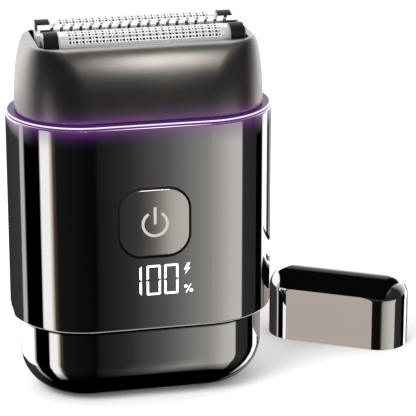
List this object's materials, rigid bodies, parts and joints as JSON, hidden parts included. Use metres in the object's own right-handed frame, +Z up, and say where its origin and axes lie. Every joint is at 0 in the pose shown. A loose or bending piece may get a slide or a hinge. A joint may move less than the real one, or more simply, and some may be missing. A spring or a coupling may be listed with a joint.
{
  "type": "electric foil shaver",
  "caption": "Palm-size foil shaver: polished dark oval body with a glowing rim, squarish power button and lit battery figure, lift-off foil head, and a loose cap on its rim.",
  "frame": {"origin": "centre of the flat face that the shaver stands on", "axes": "+Z up through the foils, -Y out of the front with the button, +X to the right when facing the front, towards the cap"},
  "size_m": [0.1039, 0.048, 0.0906],
  "materials": {
    "dark_chrome": "polished dark metal",
    "head_metal": "satin",
    "button_metal": "satin",
    "icon_mark": "gloss",
    "black_trim": "matte",
    "glow_ring": "lit diffuser",
    "lit_marks": "lit",
    "frame_plastic": "matte",
    "light_guide": "clear",
    "seal_rubber": "matte",
    "bright_steel": "brushed",
    "foil_steel": "satin",
    "blade_steel": "ground",
    "cam_brass": "turned",
    "cell_wrap": "shrink film",
    "board_green": "solder resist",
    "chip_black": "matte"
  },
  "bodies": {
    "body": {"outer_sleeve": "dark_chrome", "base_shell": "dark_chrome", "inner_frame": "frame_plastic", "light_ring": "glow_ring", "led_strip": "board_green", "sleeve_gasket": "black_trim", "drive_deck": "frame_plastic", "deck_seal": "seal_rubber", "deck_magnets": "bright_steel", "drive_motor": "bright_steel", "motor_end_cap": "frame_plastic", "motor_bracket": "frame_plastic", "bracket_screws": "bright_steel", "battery_cell": "cell_wrap", "battery_tabs": "bright_steel", "main_board": "board_green", "board_chips": "chip_black", "key_switch": "chip_black", "display_light_guide": "light_guide", "usb_c_port": "bright_steel", "usb_tongue": "chip_black", "charge_board": "board_green", "display_digits": "lit_marks", "button_bezel": "black_trim"},
    "rotor": {"motor_shaft": "bright_steel", "eccentric_cam": "cam_brass"},
    "button": {"power_button": "button_metal", "power_icon": "icon_mark", "switch_plunger": "frame_plastic"},
    "head": {"head_shell": "head_metal", "head_collar": "frame_plastic", "foil_frame": "black_trim", "head_magnets": "bright_steel"},
    "front_foil_unit": {"front_foil": "foil_steel", "front_foil_carrier": "black_trim"},
    "rear_foil_unit": {"rear_foil": "foil_steel", "rear_foil_carrier": "black_trim"},
    "trimmer_unit": {"trimmer_comb": "blade_steel", "trimmer_side_plates": "foil_steel"},
    "bridge": {"drive_bridge": "frame_plastic", "drive_pins": "bright_steel", "trimmer_drive_post": "frame_plastic", "front_spring": "bright_steel", "rear_spring": "bright_steel", "trimmer_spring": "bright_steel"},
    "front_cutter_unit": {"front_cutter": "blade_steel"},
    "rear_cutter_unit": {"rear_cutter": "blade_steel"},
    "trimmer_blade_unit": {"trimmer_blade": "blade_steel"},
    "cap": {"cap_shell": "dark_chrome", "cap_liner": "black_trim"}
  },
  "joints": [
    {"name": "head_release", "type": "slide", "parent": "body", "child": "head", "axis": [0, 0, 1], "range_m": [0, 0.04]},
    {"name": "front_foil_float", "type": "slide", "parent": "head", "child": "front_foil_unit", "axis": [0, 0, 1], "range_m": [-0.0012, 0], "stiffness_N_per_m": 600, "springref_m": 0.0004},
    {"name": "rear_foil_float", "type": "slide", "parent": "head", "child": "rear_foil_unit", "axis": [0, 0, 1], "range_m": [-0.0012, 0], "stiffness_N_per_m": 600, "springref_m": 0.0004},
    {"name": "trimmer_float", "type": "slide", "parent": "head", "child": "trimmer_unit", "axis": [0, 0, 1], "range_m": [-0.0012, 0], "stiffness_N_per_m": 600, "springref_m": 0.0004},
    {"name": "motor_spin", "type": "hinge", "parent": "body", "child": "rotor", "pos_m": [0, 0, 0.062], "axis": [0, 0, 1], "continuous": true},
    {"name": "bridge_stroke", "type": "slide", "parent": "body", "child": "bridge", "axis": [1, 0, 0], "range_m": [-0.001, 0.001]},
    {"name": "front_cutter_float", "type": "slide", "parent": "bridge", "child": "front_cutter_unit", "axis": [0, 0, 1], "range_m": [-0.0012, 0], "deforming": ["front_spring"]},
    {"name": "rear_cutter_float", "type": "slide", "parent": "bridge", "child": "rear_cutter_unit", "axis": [0, 0, 1], "range_m": [-0.0012, 0], "deforming": ["rear_spring"]},
    {"name": "trimmer_blade_float", "type": "slide", "parent": "bridge", "child": "trimmer_blade_unit", "axis": [0, 0, 1], "range_m": [-0.0012, 0], "deforming": ["trimmer_spring"]},
    {"name": "power_press", "type": "slide", "parent": "body", "child": "button", "axis": [0, 1, 0], "range_m": [0, 0.00035], "stiffness_N_per_m": 2500, "springref_m": -0.0002},
    {"name": "cap_lift", "type": "slide", "parent": "body", "child": "cap", "axis": [0, 0, 1], "range_m": [0, 0.11]}
  ],
  "couplings": [
    {"joint": "front_cutter_float", "follows": "front_foil_float", "ratio": 1},
    {"joint": "rear_cutter_float", "follows": "rear_foil_float", "ratio": 1},
    {"joint": "trimmer_blade_float", "follows": "trimmer_float", "ratio": 1}
  ]
}
